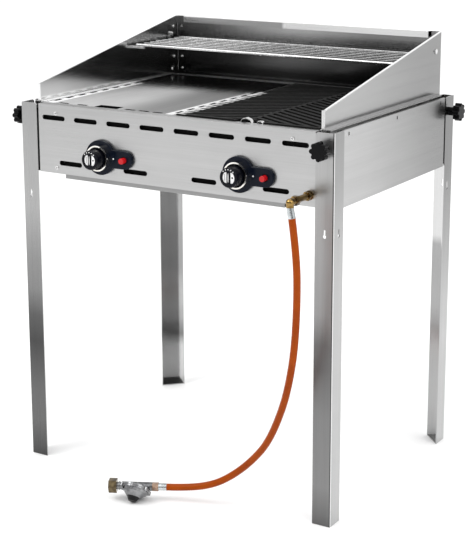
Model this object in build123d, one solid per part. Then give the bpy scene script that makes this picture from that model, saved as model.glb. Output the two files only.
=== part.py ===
from build123d import *
import math
import os

# ---------------------------------------------------------------------------
# Free-standing two-burner gas grill on four bolt-on angle legs.
# Millimetres, +Z up, front of the appliance towards -Y, X to the right.
# Shapes are laid out about the centre of the leg footprint and moved by
# Y_SHIFT when written, so that the origin is the middle of the whole outline
# (hose and regulator aside) on the floor.
# ---------------------------------------------------------------------------

# overall
W = 740.0            # over the legs, left to right
D = 544.0            # over the legs, front to back
H = 782.0            # height of the hob level and of the leg tops
LEG_W = 39.5         # width of one leg flange
LEG_T = 2.0          # leg sheet
LEG_FOOT_T = 2.0     # three-cornered foot plate

# housing
SKIN = 1.0           # housing sheet
SET_IN = 1.0         # housing skin behind the leg faces
PANEL_Z0 = 634.0     # lower edge of side panels
FRONT_Z0 = 638.0     # lower edge of the front panel
BACK_Z0 = 668.0      # lower edge of the back panel, above the tray
GAP = 4.5            # open joint beside the front-left and back-right legs
TIGHT = 0.3          # closed joint beside the other legs
FLANGE_TOP = 20.0    # inward fold along the top of front and back panels

# slots in the front panel
SLOT_Z_UP, SLOT_Z_LO = 754.3, 661.0
SLOT_L, SLOT_H = 58.0, 10.0
SLOT_X_UP = [-287.0, -205.0, -123.0, -41.0, 41.0, 123.0, 205.0, 287.0]
SLOT_X_LO = [-245.0, -82.0, 82.0, 245.0]

# controls
CTRL_X, CTRL_Z = 164.7, 684.0
BEZEL_R, BEZEL_T = 36.0, 8.0
LOBE_DX, LOBE_R = 60.0, 19.0
COLLAR_R, COLLAR_IN, COLLAR_T = 26.5, 23.6, 11.0
KNOB_R, KNOB_L, KNOB_PUSH = 19.6, 30.0, 4.0
BUTTON_R, BUTTON_OUT, BUTTON_PUSH = 6.0, 11.0, 5.0
STEM_R = 4.0

# star knobs that clamp the legs
STAR_R, STAR_T, STAR_NECK_R, STAR_NECK_L = 19.0, 14.0, 9.0, 14.0
STAR_Z = 750.0
STUD_R = 4.0

# hob
FRAME_X = 351.0      # outer edge of the hob frame
FRAME_Y0, FRAME_Y1 = -250.6, 250.6
REC_X, REC_Y0, REC_Y1 = 328.0, -249.6, 234.0   # recess that holds the plates
LEDGE = 14.0
PLATE_Z0 = 777.0
PLATE_T = 5.0
PLATE_IN, PLATE_OUT = 3.0, 326.0
PLATE_Y0, PLATE_Y1 = -248.5, 232.5
GRATE_T = 8.0
RIB_DY = 22.3        # rib pitch along Y
RIB_ANG = 31.0       # ribs rise from the sides to the middle
RIB_W = 9.5

# wind guard
GUARD_X = 339.0
GUARD_T = 1.2
GUARD_Y0, GUARD_Y1 = -254.0, 268.0
GUARD_FRONT_Z = 820.0
GUARD_TOP = 917.0

# warming rack
RACK_Z = 867.0
RACK_X = 325.0
RACK_Y0, RACK_Y1 = 84.0, 258.0
RACK_ROD, RACK_WIRE = 3.0, 1.5

# gas inlet and hose
IN_X, IN_Z, IN_Y = 318.0, 660.0, -345.0
ELBOW_R = 8.0
FERRULE_R = 7.3
HOSE_R = 7.1
HOSE_TOP = 631.0     # the hose leaves the upper ferrule here
# centre line of the hose from the inlet ferrule to the regulator ferrule
HOSE_PATH = [
    (322.0, -345.0, 631.0), (331.3, -342.2, 557.2), (333.1, -342.6, 472.4), (326.2, -338.8, 378.0),
    (311.8, -331.7, 309.8), (291.7, -321.5, 248.2), (250.8, -303.7, 165.8), (205.9, -297.8, 116.4),
    (166.1, -298.0, 74.7), (123.3, -304.2, 46.9), (71.3, -317.2, 32.7), (27.0, -333.0, 30.0),
]

# regulator: line axis REG_U, diaphragm axis REG_N, both unit vectors
REG_U = (0.8926, 0.4508, 0.0)
REG_N = (0.0979, -0.6549, -0.7493)
REG_C = (-28.3, -361.0, 30.0)
REG_V = (0.4508, -0.8926, 0.0)   # level direction square to REG_U
REG_DROP = 6.0       # diaphragm housing below the line axis, along REG_N
REG_R = 30.5

h, d = W / 2, D / 2
FY = -(d - SET_IN)           # outer face of the front panel
SX = h - SET_IN              # outer face of a side panel

Y_MIN = IN_Y - ELBOW_R       # front of the inlet elbow
Y_MAX = d + STAR_NECK_L + STAR_T
Y_SHIFT = round(-(Y_MIN + Y_MAX) / 2, 3)

os.makedirs("parts", exist_ok=True)


def box(x0, x1, y0, y1, z0, z1):
    return Pos((x0 + x1) / 2, (y0 + y1) / 2, (z0 + z1) / 2) * Box(abs(x1 - x0), abs(y1 - y0), abs(z1 - z0))


def rod(axis, a, b, p, q, r):
    """Cylinder along axis from a to b; p and q are the other two coordinates in x, y, z order."""
    c = Cylinder(r, abs(b - a))
    m = (a + b) / 2
    if axis == "x":
        return Pos(m, p, q) * Rot(0, 90, 0) * c
    if axis == "y":
        return Pos(p, m, q) * Rot(90, 0, 0) * c
    return Pos(p, q, m) * c


def pipe(axis, a, b, p, q, r, ri):
    e = 1 if b > a else -1
    return rod(axis, a, b, p, q, r) - rod(axis, a - e, b + e, p, q, ri)


def write(name, *solids):
    parts = []
    for s in solids:
        s = Pos(0, Y_SHIFT, 0) * s
        parts.extend(s.solids())
    shape = parts[0] if len(parts) == 1 else Compound(children=parts)
    export_step(shape, f"parts/{name}.step")


def slot_y(x, z, length, height, y0, y1):
    """Round-ended slot along X, cut from y0 to y1."""
    s = box(x - length / 2 + height / 2, x + length / 2 - height / 2, y0, y1, z - height / 2, z + height / 2)
    s += rod("y", y0, y1, x - length / 2 + height / 2, z, height / 2)
    s += rod("y", y0, y1, x + length / 2 - height / 2, z, height / 2)
    return s


# ---------------------------------------------------------------- front panel
FX0, FX1 = -(h - LEG_W) + GAP, (h - LEG_W) - TIGHT
front = box(FX0, FX1, FY, FY + SKIN, FRONT_Z0, H)
front += box(FX0, FX1, FY, FY + FLANGE_TOP, H - SKIN, H)
front += box(FX0, FX1, FY, FY + 14, FRONT_Z0, FRONT_Z0 + SKIN)
for x in SLOT_X_UP:
    front -= slot_y(x, SLOT_Z_UP, SLOT_L, SLOT_H, FY - 1, FY + SKIN + 1)
for x in SLOT_X_LO:
    front -= slot_y(x, SLOT_Z_LO, SLOT_L, SLOT_H, FY - 1, FY + SKIN + 1)
for s in (-1, 1):
    front -= rod("y", FY - 1, FY + 2, s * CTRL_X, CTRL_Z, 12.0)
    front -= rod("y", FY - 1, FY + 2, s * CTRL_X + LOBE_DX, CTRL_Z, 8.5)
front -= rod("y", FY - 1, FY + 2, IN_X, IN_Z, 6.6)
SCREWS = [(-281.0, 764.5), (281.0, 764.5), (-281.0, 650.0), (281.0, 646.0)]
for x, z in SCREWS:
    front -= rod("y", FY - 1, FY + 2, x, z, 2.1)
write("front_panel", front)

# ----------------------------------------------------------------- back panel
back = box(-FX1, -FX0, -FY - SKIN, -FY, BACK_Z0, H)
back += box(-FX1, -FX0, -FY - FLANGE_TOP, -FY, H - SKIN, H)
back += box(-h + 51, h - 51, -FY - 14, -FY, BACK_Z0, BACK_Z0 + SKIN)
for x in (-246.0, -164.0, -82.0, 0.0, 82.0, 164.0, 246.0):
    back -= slot_y(x, 740.0, SLOT_L, SLOT_H, -FY - 2, -FY + 1)
write("back_panel", back)

# ---------------------------------------------------------------- side panels
SY0, SY1 = -(d - LEG_W) + TIGHT, (d - LEG_W) - GAP
side = box(SX - SKIN, SX, SY0, SY1, PANEL_Z0, H)
side += box(SX - 4.0, SX, SY0, SY1, H - SKIN, H)
side += box(SX - 4.0, SX - 3.0, SY0, SY1, H - 8.0, H)
side += box(SX - 14.0, SX, SY0, SY1, PANEL_Z0, PANEL_Z0 + SKIN)
for y in (-212.0, -4.0, 206.0):
    s = box(SX - 2, SX + 1, y - 2.3, y + 2.3, 771.2, 774.8)
    s += rod("x", SX - 2, SX + 1, y, 771.2, 2.3) + rod("x", SX - 2, SX + 1, y, 774.8, 2.3)
    side -= s
    side -= box(SX - 4.5, SX - 2.5, y - 4, y + 4, 766.0, 778.0)
write("side_panel_right", side)
write("side_panel_left", Rot(0, 0, 180) * side)

# ------------------------------------------------- corner posts of the housing
# Each post is an angle inside a leg; panels are welded to it and the leg bolts on.
post = box(-h + LEG_T, -h + LEG_T + 46, -d + LEG_T, -d + LEG_T + 2, PANEL_Z0 + 5, H - 9)
post += box(-h + LEG_T, -h + LEG_T + 2, -d + LEG_T, -d + LEG_T + 46, PANEL_Z0 + 5, H - 9)
posts = []
NUT_T = 8.0
STARS = {
    # name: (axis, sign, centre along the flange)
    "fl": ("x", -1, -d + 20.0),
    "fr": ("y", -1, h - 20.0),
    "br": ("x", 1, d - 20.0),
    "bl": ("y", 1, -h + 20.0),
}


def star_axis(name, a, b, r):
    ax, sg, c = STARS[name]
    base = h if ax == "x" else d
    if ax == "x":
        return rod("x", sg * (base + a), sg * (base + b), c, STAR_Z, r)
    return rod("y", sg * (base + a), sg * (base + b), c, STAR_Z, r)


CORNERS = {"fl": (1, 1), "fr": (-1, 1), "br": (-1, -1), "bl": (1, -1)}
nuts = []
for n, (mx, my) in CORNERS.items():
    p = post
    if mx < 0:
        p = mirror(p, about=Plane.YZ)
    if my < 0:
        p = mirror(p, about=Plane.XZ)
    p = p - star_axis(n, -LEG_T - 4, 1, STUD_R + 0.6)
    posts.append(p)
    nut = star_axis(n, -LEG_T - 2 - NUT_T, -LEG_T - 2, 8.0) - star_axis(n, -LEG_T - 2 - NUT_T - 1, -LEG_T - 1, STUD_R + 0.06)
    nuts.append(nut)
posts[1] = posts[1] - rod("y", -d, -d + 6, IN_X, IN_Z, 6.6) - box(IN_X - 8, IN_X + 8, -d - 1, -d + 5, IN_Z - 30, IN_Z)
write("corner_posts", *posts)
write("weld_nuts", *nuts)

# ------------------------------------------------------------------------ legs
KEY_Z, KEY_R, KEY_SLOT, KEY_H = 583.5, 3.6, 2.0, 13.0


def keyhole(axis, c, z):
    s = 1.0
    if axis == "y":
        k = rod("y", -d - 1, -d + LEG_T + 1, c, z, KEY_R)
        k += box(c - KEY_SLOT, c + KEY_SLOT, -d - 1, -d + LEG_T + 1, z, z + KEY_H)
    else:
        k = rod("x", -h - 1, -h + LEG_T + 1, c, z, KEY_R)
        k += box(-h - 1, -h + LEG_T + 1, c - KEY_SLOT, c + KEY_SLOT, z, z + KEY_H)
    return k


leg = box(-h, -h + LEG_W, -d, -d + LEG_T, 0, H) + box(-h, -h + LEG_T, -d, -d + LEG_W, 0, H)
tri = Polyline((-h + 1, -d + 1), (-h + LEG_W, -d + 1), (-h + 1, -d + LEG_W), close=True)
leg += extrude(make_face(tri), amount=LEG_FOOT_T)
# top corners cut back a little
leg -= Pos(-h + LEG_W, -d + 1, H) * Rot(0, 45, 0) * Box(5, 6, 5)
leg -= Pos(-h + 1, -d + LEG_W, H) * Rot(45, 0, 0) * Box(6, 5, 5)
leg -= keyhole("y", -h + 19.0, KEY_Z)
leg -= keyhole("x", -d + 22.0, KEY_Z)
LEG_NAMES = {"fl": "leg_front_left", "fr": "leg_front_right", "br": "leg_back_right", "bl": "leg_back_left"}
for n, (mx, my) in CORNERS.items():
    g = leg
    if mx < 0:
        g = mirror(g, about=Plane.YZ)
    if my < 0:
        g = mirror(g, about=Plane.XZ)
    g = g - star_axis(n, -LEG_T - 1, 1, STUD_R + 0.6)
    write(LEG_NAMES[n], g)

# ------------------------------------------------------------------ star knobs
sk = Sketch() + Circle(STAR_R - 4.2)
for k in range(8):
    a = math.radians(45 * k)
    sk += Pos((STAR_R - 4.6) * math.cos(a), (STAR_R - 4.6) * math.sin(a)) * Circle(4.6)
head = Pos(0, 0, STAR_NECK_L) * extrude(sk, amount=STAR_T)
head = fillet(head.faces().sort_by(Axis.Z)[-1].edges(), 1.6)
star = head + Pos(0, 0, 0.4 + (STAR_NECK_L - 0.4) / 2) * Cylinder(STAR_NECK_R, STAR_NECK_L - 0.4)
star += Pos(0, 0, STAR_NECK_L + STAR_T / 2) * Cylinder(STAR_R - 6, STAR_T)
STUD_IN = LEG_T + 2 + NUT_T + 4
star += Pos(0, 0, -STUD_IN / 2 + 0.5) * Cylinder(STUD_R, STUD_IN + 1)
for n, (ax, sg, c) in STARS.items():
    if ax == "x":
        s = Pos(sg * h, c, STAR_Z) * Rot(0, 90 * sg, 0) * star
    else:
        s = Pos(c, sg * d, STAR_Z) * Rot(-90 * sg, 0, 0) * star
    write(f"star_knob_{n}", s)

# ------------------------------------------------------------------- hob frame
fr = box(-FRAME_X, FRAME_X, FRAME_Y0, FRAME_Y1, H - 1, H)
fr -= box(-REC_X + 1, REC_X - 1, REC_Y0 + 1, REC_Y1 - 1, H - 3, H + 1)
fr += box(-FRAME_X, -FRAME_X + 1, FRAME_Y0, FRAME_Y1, H - 26, H)
fr += box(FRAME_X - 1, FRAME_X, FRAME_Y0, FRAME_Y1, H - 26, H)
wall = box(-REC_X - 1, REC_X + 1, REC_Y0 - 1, REC_Y1 + 1, PLATE_Z0 - 1, H) - box(-REC_X, REC_X, REC_Y0, REC_Y1, PLATE_Z0 - 2, H + 1)
fr += wall
ledge = box(-REC_X - 1, REC_X + 1, REC_Y0 - 1, REC_Y1 + 1, PLATE_Z0 - 1, PLATE_Z0)
ledge -= box(-REC_X + LEDGE, -LEDGE, REC_Y0 + LEDGE, REC_Y1 - LEDGE, PLATE_Z0 - 2, PLATE_Z0 + 1)
ledge -= box(LEDGE, REC_X - LEDGE, REC_Y0 + LEDGE, REC_Y1 - LEDGE, PLATE_Z0 - 2, PLATE_Z0 + 1)
ledge -= box(-199, -141, REC_Y0 + 3, REC_Y0 + LEDGE + 2, PLATE_Z0 - 2, PLATE_Z0 + 1)
ledge -= box(141, 204, REC_Y0 + 3, REC_Y0 + LEDGE + 2, PLATE_Z0 - 2, PLATE_Z0 + 1)
# drain holes under the plate's rim slots
for k in range(-5, 6):
    y = -7.8 + 41.4 * k
    ledge -= box(-322.5, -312.5, y - 13, y + 13, PLATE_Z0 - 2, PLATE_Z0 + 1)
    ledge -= box(-16.0, -6.0, y - 13, y + 13, PLATE_Z0 - 2, PLATE_Z0 + 1)
fr += ledge
fr += box(-1.2, 1.2, REC_Y0, REC_Y1, PLATE_Z0 - 1, H)          # bar between the plates
fr += rod("y", REC_Y0, REC_Y1, 0, H, 2.0)
for s in (-1, 1):
    fr += rod("y", REC_Y0, REC_Y1, s * (REC_X + 1.8), H, 1.8)  # raised bead along the recess
write("hob_frame", fr)

# ---------------------------------------------------------------- griddle plate
plate = box(-PLATE_OUT, -PLATE_IN, PLATE_Y0, PLATE_Y1, PLATE_Z0, PLATE_Z0 + PLATE_T)
plate = fillet(plate.edges().filter_by(Axis.Z), 4.0)
plate += rod("y", PLATE_Y0 + 6, PLATE_Y1 - 6, -PLATE_OUT + 2.2, PLATE_Z0 + PLATE_T, 1.4)
plate -= box(-199, -142, PLATE_Y0 - 1, PLATE_Y0 + 26, PLATE_Z0 - 1, H + 2)
for k in range(-5, 6):
    y = -7.8 + 41.4 * k
    plate -= box(-321.5, -313.5, y - 11.5, y + 11.5, PLATE_Z0 - 1, H + 1)
    plate -= box(-14.5, -6.5, y - 11.5, y + 11.5, PLATE_Z0 - 1, H + 1)
for x in (-281.0, -233.0, -113.0, -79.0, -45.0):
    plate -= box(x - 12.0, x + 12.0, -246.0, -238.0, PLATE_Z0 - 1, H + 1)
for x in (-290.0, -248.0, -206.0, -164.5, -123.0, -81.0, -39.0):
    plate -= box(x - 12.5, x + 12.5, 223.0, 229.0, PLATE_Z0 - 1, H + 1)
write("griddle_plate", plate)

# ------------------------------------------------------------------ grill grate
GX0, GX1, GY0, GY1 = PLATE_IN + 0.5, PLATE_OUT, PLATE_Y0, PLATE_Y1
GXM = (GX0 + GX1) / 2
grate = box(GX0, GX1, GY0, GY1, PLATE_Z0, PLATE_Z0 + GRATE_T)
ta = math.tan(math.radians(RIB_ANG))
gap_dy = RIB_DY - RIB_W / math.cos(math.radians(RIB_ANG))
FRM, SPINE = 9.0, 4.0
cuts = Sketch()
for side_sign in (-1, 1):
    xa, xb = (GX0 + FRM, GXM - SPINE) if side_sign < 0 else (GXM + SPINE, GX1 - FRM)
    window = Pos((xa + xb) / 2, (GY0 + GY1) / 2) * Rectangle(xb - xa, GY1 - GY0 - 2 * 9.0)
    bars = Sketch()
    n = int((GY1 - GY0) / RIB_DY) + 8
    for k in range(n):
        yc = GY0 - 0.5 * RIB_DY + k * RIB_DY      # height of the gap where it meets the spine
        def yy(x):
            return yc - abs(x - GXM) * ta
        poly = Polyline((xa - 1, yy(xa - 1) - gap_dy / 2), (xb + 1, yy(xb + 1) - gap_dy / 2),
                        (xb + 1, yy(xb + 1) + gap_dy / 2), (xa - 1, yy(xa - 1) + gap_dy / 2), close=True)
        bars += make_face(poly)
    part = bars & window
    for f in part.faces():
        if f.area > 30:
            grate -= Pos(0, 0, PLATE_Z0 - 1) * extrude(f, amount=GRATE_T + 2, dir=(0, 0, 1))
grate -= box(142, 203, GY0 - 1, GY0 + 15, PLATE_Z0 - 1, H + 10)
# clear bars from the finger opening
grate += box(138, 207, GY0 + 15, GY0 + 19, PLATE_Z0, PLATE_Z0 + GRATE_T)
write("grill_grate", grate)
# bent lifting strip across the opening
CLIP = [(142.0, 777.6), (149.0, 777.6), (155.0, 786.5), (163.0, 789.0), (172.0, 786.0), (177.0, 778.6), (186.0, 778.6), (190.0, 784.5), (197.0, 784.5), (203.0, 778.0)]
top = [(x, z + 1.5) for x, z in CLIP]
clip = extrude(Plane.XZ.offset(-(GY0 + 3)) * make_face(Polyline(*CLIP, *reversed(top), close=True)), amount=-9.0)
write("grate_lift_strip", clip)

# ------------------------------------------------------------------- wind guard
t = GUARD_T
gr = make_face(Polyline((GUARD_Y0, H), (GUARD_Y1, H), (GUARD_Y1, GUARD_TOP), (GUARD_Y1 - 4, GUARD_TOP), (GUARD_Y0, GUARD_FRONT_Z), close=True))
gside = Plane.YZ.offset(GUARD_X - t) * gr
gside = extrude(gside, amount=t, dir=(1, 0, 0))
gside += box(GUARD_X - t, GUARD_X + 11.0, GUARD_Y0 + 3, GUARD_Y1 - 3, H, H + t)       # foot turned outward
gside += box(GUARD_X - 6.0, GUARD_X, GUARD_Y0, GUARD_Y0 + t, H, GUARD_FRONT_Z)           # hem on the front edge
ROLL = 1.5
slope = Vector(0, GUARD_Y1 - 6 - GUARD_Y0, (GUARD_TOP - GUARD_FRONT_Z) * (GUARD_Y1 - 6 - GUARD_Y0) / (GUARD_Y1 - 4 - GUARD_Y0))
a0 = Vector(GUARD_X - t / 2, GUARD_Y0 + 0.6, GUARD_FRONT_Z)
gside += Plane(origin=a0 + slope * 0.5, z_dir=slope.normalized()) * Cylinder(ROLL, slope.length)
gside += rod("z", H + t, GUARD_FRONT_Z, GUARD_X - t / 2, GUARD_Y0 + 0.6, ROLL)
gside += Pos(GUARD_X - t / 2, GUARD_Y0 + 0.6, GUARD_FRONT_Z) * Sphere(ROLL)
gside -= rod("x", GUARD_X - 4, GUARD_X + 2, 240.0, 877.0, 3.1)
write("wind_guard_right", gside)
gleft = mirror(gside, about=Plane.YZ)
write("wind_guard_left", gleft)
gb = box(-GUARD_X + t, GUARD_X - t, GUARD_Y1 - t, GUARD_Y1, H, GUARD_TOP)
gb += box(-GUARD_X + t, GUARD_X - t, GUARD_Y1 - 14, GUARD_Y1, H, H + t)
gb += box(-GUARD_X + 26, GUARD_X - 26, GUARD_Y1 - 10, GUARD_Y1, GUARD_TOP - t, GUARD_TOP)
gb += box(-GUARD_X + 26, GUARD_X - 26, GUARD_Y1 - 10, GUARD_Y1 - 10 + t, GUARD_TOP - 14, GUARD_TOP)
gb += rod("x", -GUARD_X + 5, GUARD_X - 5, GUARD_Y1 - t / 2, GUARD_TOP, ROLL)
for s in (-1, 1):
    tab = box(s * (GUARD_X - t), s * (GUARD_X - 2 * t), GUARD_Y1 - 44, GUARD_Y1, H + 6, GUARD_TOP - 18)
    gb += tab
    gb += rod("z", H + 6, GUARD_TOP - 18, s * (GUARD_X - 2 * t - 1.2), GUARD_Y1 - t - 1.2, 1.6)
    gb -= rod("x", s * (GUARD_X - 5), s * GUARD_X, 240.0, 877.0, 3.1)
write("wind_guard_back", gb)
bolts = []
for s in (-1, 1):
    b = rod("x", s * (GUARD_X - 9), s * (GUARD_X + 0.0), 240.0, 877.0, 3.0)
    b += rod("x", s * GUARD_X, s * (GUARD_X + 2.6), 240.0, 877.0, 5.5)
    b += rod("x", s * (GUARD_X - 2 * t), s * (GUARD_X - 7.5), 240.0, 877.0, 5.0)
    bolts.append(b)
    for y, z in ((250.0, 893.0), (252.0, 822.0), (244.0, 794.0)):
        bolts.append(Pos(s * (GUARD_X - 2 * t), y, z) * Rot(0, -90 * s, 0) * (Pos(0, 0, 1.2) * Cone(3.2, 2.0, 2.4)))
    for z in (893.0, 822.0, 794.0):
        bolts.append(Pos(s * 324.0, GUARD_Y1 - t, z) * Rot(90, 0, 0) * (Pos(0, 0, 1.2) * Cone(3.2, 2.0, 2.4)))
write("guard_bolts", *bolts)

# rack pegs on the guard sides
pegs = []
for s in (-1, 1):
    for y in (RACK_Y0 + 14, RACK_Y1 - 40):
        pegs.append(rod("x", s * (GUARD_X - t), s * (GUARD_X - 27), y, RACK_Z - 1.6 - 2.6 - 0.3 - 3.0, 3.0))
write("rack_pegs", *[p - rod("x", -400, 400, 240.0, 877.0, 3.2) for p in pegs])

# ----------------------------------------------------------------- warming rack
rz = RACK_Z
rack = rod("x", -RACK_X, RACK_X, RACK_Y0, rz, RACK_ROD)
rack += rod("x", -RACK_X, RACK_X, RACK_Y1, rz, RACK_ROD)
for s in (-1, 0, 1):
    x = s * (RACK_X - 8)
    rack += rod("y", RACK_Y0, RACK_Y1, x, rz - 1.6, 2.6)
NW = 7
for k in range(1, NW):
    y = RACK_Y0 + 2 + (RACK_Y1 - RACK_Y0 - 4) * k / NW
    rack += rod("x", -RACK_X + 3, RACK_X - 3, y, rz + 1.4, RACK_WIRE)
write("warming_rack", rack)

# --------------------------------------------------------------------- controls
bezels, collars, stems, buttons = [], [], [], []
BY = FY - BEZEL_T
for s in (-1, 1):
    cx = s * CTRL_X
    sk = Sketch() + Pos(0, 0) * Circle(BEZEL_R) + Pos(LOBE_DX / 2, 0) * Rectangle(LOBE_DX, 2 * LOBE_R) + Pos(LOBE_DX, 0) * Circle(LOBE_R)
    bz = Pos(cx, FY, CTRL_Z) * Rot(90, 0, 0) * extrude(sk, amount=BEZEL_T)
    bz = fillet(bz.faces().sort_by(Axis.Y)[0].edges(), 2.0)
    bz -= rod("y", BY - 1, FY + 1, cx, CTRL_Z, 12.0)
    bz -= rod("y", BY - 1, FY + 1, cx + LOBE_DX, CTRL_Z, 7.6)
    bezels.append(bz)
    cl = pipe("y", BY, BY - COLLAR_T, cx, CTRL_Z, COLLAR_R, COLLAR_IN)
    collars.append(cl)
write("control_bezels", *bezels)
write("control_collars", *collars)

KY0 = BY - KNOB_PUSH - 1.0                 # back of the knob skirt
KY1 = KY0 - KNOB_L                         # knob face
for s, nm in ((-1, "left"), (1, "right")):
    cx = s * CTRL_X
    kb = rod("y", KY0, KY1, cx, CTRL_Z, KNOB_R)
    kb = fillet(kb.faces().sort_by(Axis.Y)[0].edges(), 2.2)
    kb -= box(cx - 17, cx - 3.4, KY1 - 1, KY1 + 2.2, CTRL_Z - 11.0, CTRL_Z + 11.0) & rod("y", KY1 - 1, KY1 + 3, cx, CTRL_Z, 14.0)
    kb -= box(cx + 3.4, cx + 17, KY1 - 1, KY1 + 2.2, CTRL_Z - 11.0, CTRL_Z + 11.0) & rod("y", KY1 - 1, KY1 + 3, cx, CTRL_Z, 14.0)
    kb -= rod("y", KY0 + 1, KY0 - 18, cx, CTRL_Z, STEM_R + 0.05)
    write(f"control_knob_{nm}", kb)
    st = rod("y", KY0 - 17.5, FY + 24, cx, CTRL_Z, STEM_R)
    st += rod("y", KY0 + 0.3, KY0 + 1.3, cx, CTRL_Z, 6.0)
    write(f"valve_stem_{nm}", st)
    bx = cx + LOBE_DX
    bt = rod("y", BY - BUTTON_OUT, FY + 6, bx, CTRL_Z, BUTTON_R)
    bt = fillet(bt.faces().sort_by(Axis.Y)[0].edges(), 1.2)
    write(f"igniter_button_{nm}", bt)

# -------------------------------------------- gas train behind the front panel
valves, injectors, igniters, electrodes, couples = [], [], [], [], []
VY0, VY1 = FY + 14, FY + 40
MAN_Z = IN_Z
for s in (-1, 1):
    cx = s * CTRL_X
    v = box(cx - 13, cx + 13, VY0, VY1, MAN_Z - 9, CTRL_Z + 14)
    v += rod("y", FY + 1.0, VY0, cx, CTRL_Z, 9.0)
    v -= rod("y", FY, FY + 30, cx, CTRL_Z, STEM_R + 0.05)
    v -= rod("x", cx - 20, cx + 20, (VY0 + VY1) / 2, MAN_Z, 6.0)
    valves.append(v)
    inj = rod("y", VY1, VY1 + 22, cx, CTRL_Z + 2, 5.0) + rod("y", VY1 + 6, VY1 + 12, cx, CTRL_Z + 2, 8.0)
    injectors.append(inj)
    ig = pipe("y", FY + 1.0, FY + 56, cx + LOBE_DX, CTRL_Z, 9.5, 7.4)
    ig += rod("y", FY + 22, FY + 56, cx + LOBE_DX, CTRL_Z, 9.5)
    igniters.append(ig)
write("gas_valves", *valves)
write("gas_injectors", *injectors)
write("piezo_igniters", *igniters)
my = (VY0 + VY1) / 2
man = rod("x", -CTRL_X - 22, IN_X + 6, my, MAN_Z, 6.0)
man += rod("y", my, FY + SKIN + 1.5, IN_X, IN_Z, 6.0)
write("gas_manifold", man)

# heat shield between the front panel and the valves
HS_Y = FY + 9.0
hs = box(-320.0, 320.0, HS_Y, HS_Y + 0.8, FRONT_Z0 + 3.0, H - 4.0)
for s in (-1, 1):
    hs -= rod("y", HS_Y - 1, HS_Y + 2, s * CTRL_X, CTRL_Z, 10.2)
    hs -= rod("y", HS_Y - 1, HS_Y + 2, s * CTRL_X + LOBE_DX, CTRL_Z, 10.6)
hs -= box(309.0, 321.0, HS_Y - 1, HS_Y + 2, IN_Z - 9, IN_Z + 9)
write("heat_shield", hs)

# burners: long steel tubes with ports along both flanks
BURN_Z, BURN_R = CTRL_Z + 2, 17.0
burners, tamers, tips = [], [], []
for s in (-1, 1):
    cx = s * CTRL_X
    b = rod("y", VY1 + 14, 226.0, cx, BURN_Z, BURN_R) - rod("y", VY1 + 13, 224.0, cx, BURN_Z, BURN_R - 1.5)
    for k in range(22):
        y = -165 + k * 17.5
        b -= Pos(cx, y, BURN_Z + 8) * Rot(0, 0, 0) * Box(2 * BURN_R + 6, 2.2, 4.0)
    b += box(cx - 12, cx + 12, 225.0, 227.0, BURN_Z - 30, BURN_Z + 12)
    burners.append(b)
    a = math.radians(28)
    tz = BURN_Z + 26
    prof = Polyline((-62, 0), (0, 30), (62, 0), (62, 1.6), (0, 31.6), (-62, 1.6), close=True)
    tm = Pos(cx, -205, tz) * extrude(Plane.XZ * make_face(prof), amount=-415)
    tamers.append(tm)
    el = rod("y", FY + 56, -170, cx + LOBE_DX, CTRL_Z, 2.0)
    el += rod("x", cx + LOBE_DX, cx + 26, -170, CTRL_Z, 2.0)
    electrodes.append(el)
    tc = rod("y", VY1 - 6, -150, cx - 22, CTRL_Z - 15, 1.6) + rod("x", cx - 22, cx - 32, -150, CTRL_Z - 15, 1.6)
    tc += rod("x", cx - 13, cx - 23.6, VY1 - 6, CTRL_Z - 15, 1.6)
    tc += rod("z", CTRL_Z - 16, CTRL_Z + 10, cx - 32, -150, 2.4)
    couples.append(tc)
write("burner_tubes", *burners)
write("flame_tamers", *tamers)
write("ignition_leads", *electrodes)
write("thermocouples", *couples)

# cross rails that carry burners, tamers and tray
rails = []
for y in (-196.0, 196.0):
    r = box(-SX + 1.0, SX - 1.0, y - 10, y + 10, BURN_Z - 22, BURN_Z - 20)
    r += box(-SX + 1.0, SX - 1.0, y - 1, y + 1, BURN_Z - 22, BURN_Z + 26) - box(-CTRL_X - 60, -CTRL_X + 84, y - 3, y + 3, BURN_Z - 20, BURN_Z + 30) - box(CTRL_X - 60, CTRL_X + 84, y - 3, y + 3, BURN_Z - 20, BURN_Z + 30)
    rails.append(r)
brk = []
for s in (-1, 1):
    for y in (-196.0, 196.0):
        cx = s * CTRL_X
        brk.append(box(cx - 16, cx + 16, y - 4, y + 4, BURN_Z - 20, BURN_Z - 15.5) - rod("y", y - 6, y + 6, cx, BURN_Z, BURN_R))
write("cross_rails", *rails)
write("burner_saddles", *brk)
props = []
for s in (-1, 1):
    for y in (-196.0, 196.0):
        for q in (-52, 52):
            cx = s * CTRL_X + q
            p = box(cx - 2, cx + 2, y - 5, y + 5, BURN_Z - 20, tz + (62 - 54) * 30 / 62)
            props.append(p)
write("tamer_props", *props)

# tray runners and drip tray; the tray draws out forwards under the front panel
TR_X, TR_WALL = 262.0, 252.0
TRAY_Z0, TRAY_TOP, TRAY_Y0, TRAY_Y1 = 628.5, 637.0, -250.0, 246.0
STRIP_Y = -267.0     # face of the strip in front of the tray
runners = []
for s in (-1, 1):
    r = box(s * (TR_X + 1.5), s * (TR_X + 3.0), -236, 236, TRAY_TOP - 3.0, BURN_Z - 22)
    r += box(s * (TR_X + 3.0), s * (TR_WALL + 2.0), -236, 236, TRAY_TOP - 3.0, TRAY_TOP - 1.3)
    runners.append(r)
write("tray_runners", *runners)
tray = box(-TR_WALL, TR_WALL, TRAY_Y0, TRAY_Y1, TRAY_Z0, TRAY_TOP)
tray -= box(-TR_WALL + 1, TR_WALL - 1, TRAY_Y0 + 1, TRAY_Y1 - 1, TRAY_Z0 + 1, TRAY_TOP + 1)
tray += box(-TR_X, TR_X, TRAY_Y0, TRAY_Y0 + 1, TRAY_Z0, TRAY_TOP)
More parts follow.
